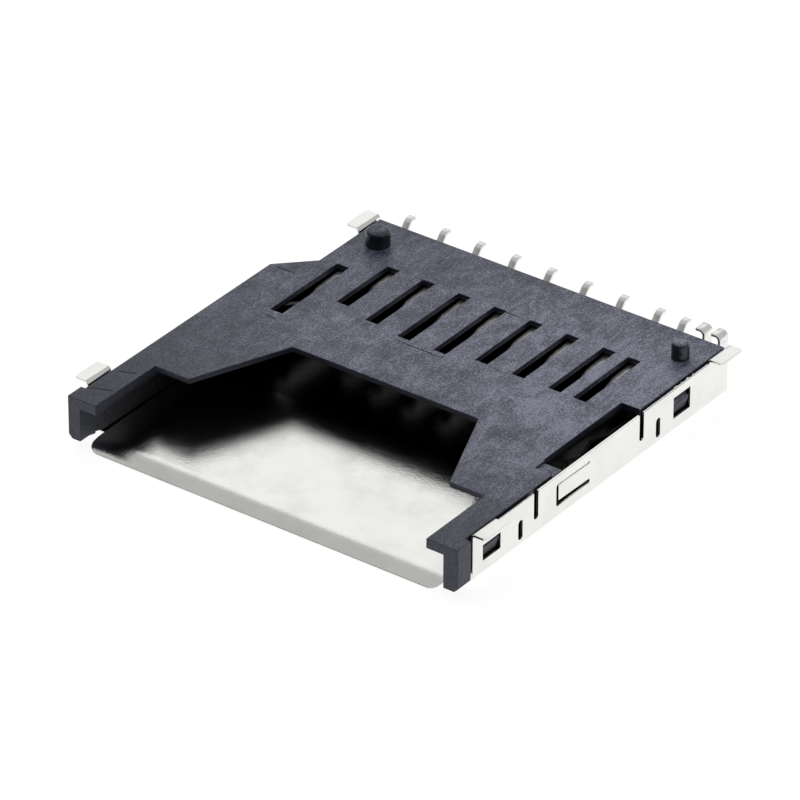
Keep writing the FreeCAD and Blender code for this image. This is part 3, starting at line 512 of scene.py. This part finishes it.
def ridge(path, width, height, level, steps=24, around=8):
    """Low bead along a path of flat points: an ellipse of half width and height carried along the path, drawn in
    to a point at both ends by the fourth root of the sine of the way along."""
    path = np.array(path, float)
    lengths = np.concatenate([[0], np.cumsum(np.linalg.norm(np.diff(path, axis=0), axis=1))])
    way = np.linspace(0, 1, steps)
    x = np.interp(way * lengths[-1], lengths, path[:, 0])
    y = np.interp(way * lengths[-1], lengths, path[:, 1])
    heading = np.arctan2(np.gradient(y), np.gradient(x))
    swell = np.sin(np.pi * way) ** 0.25
    turn = np.arange(around) * 2 * np.pi / around
    offset = width / 2 * swell[:, None] * np.cos(turn)[None, :]
    points = np.stack([x[:, None] - np.sin(heading)[:, None] * offset,
                       y[:, None] + np.cos(heading)[:, None] * offset,
                       level + height * swell[:, None] * np.sin(turn)[None, :]], axis=-1)
    ring = np.arange(steps * around).reshape(steps, around)
    ahead = np.roll(ring, -1, axis=1)
    quads = np.stack([ring[:-1], ahead[:-1], ahead[1:], ring[1:]], axis=-1).reshape(-1, 4)
    return points.reshape(-1, 3), quads


def joined_mesh(name, parts):
    """One mesh from several grids of points and faces, with its doubles merged and its faces turned outwards."""
    starts = np.cumsum([0] + [len(points) for points, faces in parts])
    points = np.concatenate([points for points, faces in parts])
    faces = np.concatenate([faces + start for (grid, faces), start in zip(parts, starts)])
    mesh = bpy.data.meshes.new(name)
    mesh.from_pydata(points, [], faces)
    whole = bmesh.new()
    whole.from_mesh(mesh)
    bmesh.ops.remove_doubles(whole, verts=whole.verts, dist=WELD)
    bmesh.ops.recalc_face_normals(whole, faces=whole.faces)
    whole.to_mesh(mesh)
    whole.free()
    mesh.shade_smooth()
    return mesh


# Faint raised lines of the mould on the plate, in millimetres from the middle of the card space
MOULD_LINES = (
    ((-12.62, 5.10), (-11.12, 5.12)),
    ((-9.88, 0.50), (-8.97, 0.46)),
    ((-2.43, 2.64), (0.96, 2.59), (1.01, 3.02)),
    ((0.89, 8.73), (1.98, 8.78)),
    ((-12.87, -11.60), (-11.47, -11.05)),
    ((-12.65, -9.28), (-11.62, -8.86)),
)
LINE_WIDTH = 0.06 * MM
LINE_HEIGHT = 0.018 * MM

# The two pegs' axes and radii in millimetres, the rounding of their ends, and the domes that take its place
PEGS = ((-9.30, 10.50, 0.725), (11.68, 10.50, 0.515))
PEG_ROUND = 0.12 * MM
DOME_FLAT = 0.42
DOME_HEIGHT = 0.25 * MM

# Slivers that the stamping tool left on the top of the right metal wall, in millimetres, below the plate top
BURRS = (
    ((13.12, 7.75), (13.13, 8.15)),
    ((13.11, 8.45), (13.13, 8.58)),
    ((13.12, 8.95), (13.11, 9.25)),
    ((13.09, 9.60), (13.15, 9.70)),
)
BURR_WIDTH = 0.06 * MM
BURR_HEIGHT = 0.07 * MM
WALL_BELOW_PLATE = 0.14 * MM


class CARDSOCKET_OT_housing(bpy.types.Operator):
    """Moulded housing with rounded edges and the faint lines of its mould"""

    bl_idname = "card_socket.housing"
    bl_label = "Housing"

    def execute(self, context):
        settings = scene_settings("plastic")
        finish = plastic_finish(settings)
        housing = rounded_copy("housing", "moulded_housing", settings.edge, finish)
        dome_pegs(housing.data)
        lines = joined_mesh("mould_lines", [
            ridge(np.array(path) * MM, LINE_WIDTH, LINE_HEIGHT, PLATE_TOP) for path in MOULD_LINES])
        lines.materials.append(seam_finish())
        place(lines)
        return {"FINISHED"}


class CARDSOCKET_OT_shell(bpy.types.Operator):
    """Folded steel shell with rolled sheet finish"""

    bl_idname = "card_socket.shell"
    bl_label = "Shell"

    def execute(self, context):
        settings = scene_settings("steel")
        finish = steel_finish(settings)
        rounded_copy("shell", "folded_shell", settings.edge, finish)
        wall_top = PLATE_TOP - WALL_BELOW_PLATE
        burrs = joined_mesh("stamping_burrs", [
            ridge(np.array(path) * MM, BURR_WIDTH, BURR_HEIGHT, wall_top) for path in BURRS])
        burrs.materials.append(finish)
        place(burrs)
        return {"FINISHED"}


class CARDSOCKET_OT_contacts(bpy.types.Operator):
    """Nine contact springs with their solder tails"""

    bl_idname = "card_socket.contacts"
    bl_label = "Contact springs"

    def execute(self, context):
        if not CONTACTS:
            raise RuntimeError("the frame has no contact springs")
        settings = scene_settings("spring")
        finish = spring_finish("plated_contact_strip", settings, CONTACT_STRIP_LINES)
        for name in CONTACTS:
            rounded_copy(name, name.replace("contact", "contact_spring"), settings.edge, finish)
        return {"FINISHED"}


class CARDSOCKET_OT_switches(bpy.types.Operator):
    """Two switch blades beside the card"""

    bl_idname = "card_socket.switches"
    bl_label = "Switch blades"

    def execute(self, context):
        settings = scene_settings("spring")
        finish = spring_finish("plated_blade_strip", settings, BLADE_STRIP_LINES)
        for name in SWITCH_BLADES:
            rounded_copy(name, name.replace("spring", "blade"), settings.edge, finish)
        return {"FINISHED"}


# Studio
SENSOR = 36.0
SHIFT = (0.025, -0.0009)
FLOOR_SIZE = 3.0
FLOOR_GLOW = 0.88
FLOOR_SHADE = 0.26
FLOOR_COLOUR = (0.82, 0.82, 0.81)
LAMP_SIZE = 0.30
LAMP_PLACE = (-0.20, 0.10, 0.42)
PANEL_DIRECTION = (-0.508, 0.684, 0.523)
PANEL_EDGE = math.cos(math.radians(22))
PANEL_FULL = math.cos(math.radians(10))
AWAY_FROM_FRONT = (0.0, 1.0, 0.5)
FRONT_START = 0.0
FRONT_FULL = -0.50


def seen_by_eye_or_mirror(tree):
    """1 for rays from the camera and for mirrored and refracted ones, 0 for light that falls on a matte
    surface."""
    path = add(tree, "LightPath")
    mirror = combine(tree, "MAXIMUM", path.outputs["Is Glossy Ray"], path.outputs["Is Transmission Ray"])
    return combine(tree, "MAXIMUM", path.outputs["Is Camera Ray"], mirror)


def floor_finish():
    """Pale floor whose own glow brings it to white, while it keeps part of the object's shadow."""
    finish, tree, point = new_finish("pale_floor")
    paper = noise(tree, point, 1.5 * MM, detail=3.0)
    colour = mixed(tree, paper, FLOOR_COLOUR, (1, 1, 1))
    matte = add(tree, "BsdfDiffuse", {"Color": colour})
    dim = add(tree, "BsdfDiffuse", {"Color": (FLOOR_SHADE, FLOOR_SHADE, FLOOR_SHADE, 1)})
    glow = add(tree, "Emission", {"Color": (1, 1, 1, 1), "Strength": FLOOR_GLOW})
    shown = add(tree, "AddShader", {0: dim.outputs["BSDF"], 1: glow.outputs["Emission"]})
    mix = add(tree, "MixShader", {0: seen_by_eye_or_mirror(tree), 1: matte.outputs["BSDF"],
                                  2: shown.outputs["Shader"]})
    add(tree, "OutputMaterial", {"Surface": mix.outputs["Shader"]})
    return finish


def studio_light(settings):
    """White panel behind the socket, a dimmer room round it and a dark front; the camera sees plain white."""
    world = bpy.data.worlds.new("white_studio")
    world.use_nodes = True
    tree = world.node_tree
    tree.nodes.clear()
    direction = add(tree, "TexCoord").outputs["Generated"]
    towards_panel = add(tree, "VectorMath", {0: direction, 1: PANEL_DIRECTION}, operation="DOT_PRODUCT")
    panel = add(tree, "MapRange", {
        "Value": towards_panel.outputs["Value"], "From Min": PANEL_EDGE, "From Max": PANEL_FULL,
        "To Min": settings.room, "To Max": settings.panel}, interpolation_type="SMOOTHSTEP").outputs["Result"]
    away_from_front = add(tree, "VectorMath", {0: direction, 1: AWAY_FROM_FRONT}, operation="DOT_PRODUCT")
    front = add(tree, "MapRange", {
        "Value": away_from_front.outputs["Value"], "From Min": FRONT_FULL, "From Max": FRONT_START,
        "To Min": settings.front, "To Max": 1.0}, interpolation_type="SMOOTHSTEP").outputs["Result"]
    lit = add(tree, "Background", {"Strength": combine(tree, "MULTIPLY", panel, front)})
    lit.inputs["Color"].default_value = (1, 1, 1, 1)
    plain = add(tree, "Background", {"Color": (1, 1, 1, 1), "Strength": 1.0})
    camera_ray = add(tree, "LightPath").outputs["Is Camera Ray"]
    mix = add(tree, "MixShader", {0: camera_ray, 1: lit.outputs["Background"], 2: plain.outputs["Background"]})
    add(tree, "OutputWorld", {"Surface": mix.outputs["Shader"]})
    return world


class CARDSOCKET_OT_stage(bpy.types.Operator):
    """Pale floor, soft light and camera"""

    bl_idname = "card_socket.stage"
    bl_label = "Studio"

    def execute(self, context):
        scene = context.scene
        half = FLOOR_SIZE / 2
        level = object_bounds()[0].z
        mesh = bpy.data.meshes.new("studio_floor")
        mesh.from_pydata([(-half, -half, level), (half, -half, level), (half, half, level), (-half, half, level)],
                         [], [(0, 1, 2, 3)])
        mesh.materials.append(floor_finish())
        floor = bpy.data.objects.new("studio_floor", mesh)
        scene.collection.objects.link(floor)
        floor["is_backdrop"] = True
        studio = scene_settings("studio")
        scene.world = studio_light(studio)
        lamp = bpy.data.lights.new("soft_lamp", "AREA")
        lamp.shape = "SQUARE"
        lamp.size = LAMP_SIZE
        lamp.energy = studio.lamp
        lamp_holder = bpy.data.objects.new("soft_lamp", lamp)
        lamp_holder.location = LAMP_PLACE
        lamp_holder.rotation_euler = Vector(LAMP_PLACE).to_track_quat("Z", "Y").to_euler()
        lamp_holder.visible_glossy = False
        scene.collection.objects.link(lamp_holder)
        self.add_camera(scene)
        scene.view_settings.view_transform = "Standard"
        return {"FINISHED"}

    def add_camera(self, scene):
        view = scene_settings("camera")
        towards_camera = Vector((math.sin(view.azimuth) * math.cos(view.elevation),
                                 -math.cos(view.azimuth) * math.cos(view.elevation),
                                 math.sin(view.elevation)))
        camera = bpy.data.cameras.new("camera")
        camera.sensor_width = SENSOR
        camera.lens = view.lens
        camera.shift_x, camera.shift_y = SHIFT
        holder = bpy.data.objects.new("camera", camera)
        holder.location = Vector(view.middle) + towards_camera * view.distance
        holder.rotation_euler = towards_camera.to_track_quat("Z", "Y").to_euler()
        scene.collection.objects.link(holder)
        scene.camera = holder


OPERATORS = (CARDSOCKET_OT_housing, CARDSOCKET_OT_shell, CARDSOCKET_OT_contacts, CARDSOCKET_OT_switches,
             CARDSOCKET_OT_stage)
SETTINGS = {"plastic": PlasticSettings, "steel": SteelSettings, "spring": SpringSettings,
            "camera": CameraSettings, "studio": StudioSettings}


class CARDSOCKET_PT_sidebar(bpy.types.Panel):
    """Sidebar of the card socket"""

    bl_idname = "CARDSOCKET_PT_sidebar"
    bl_label = "Card socket"
    bl_space_type = "VIEW_3D"
    bl_region_type = "UI"
    bl_category = "Card socket"

    def draw(self, context):
        for operator in OPERATORS:
            self.layout.operator(operator.bl_idname)
        for name in SETTINGS:
            group = scene_settings(name)
            box = self.layout.box()
            for key in group.__annotations__:
                box.prop(group, key)


def register():
    for name, group in SETTINGS.items():
        bpy.utils.register_class(group)
        setattr(bpy.types.Scene, "card_socket_" + name, PointerProperty(type=group))
    for item in (*OPERATORS, CARDSOCKET_PT_sidebar):
        bpy.utils.register_class(item)


def unregister():
    for item in (CARDSOCKET_PT_sidebar, *reversed(OPERATORS)):
        bpy.utils.unregister_class(item)
    for name, group in SETTINGS.items():
        delattr(bpy.types.Scene, "card_socket_" + name)
        bpy.utils.unregister_class(group)


def main():
    register()
    bpy.ops.card_socket.housing()
    bpy.ops.card_socket.shell()
    bpy.ops.card_socket.contacts()
    bpy.ops.card_socket.switches()
    bpy.ops.card_socket.stage()


if __name__ == "__main__":
    main()
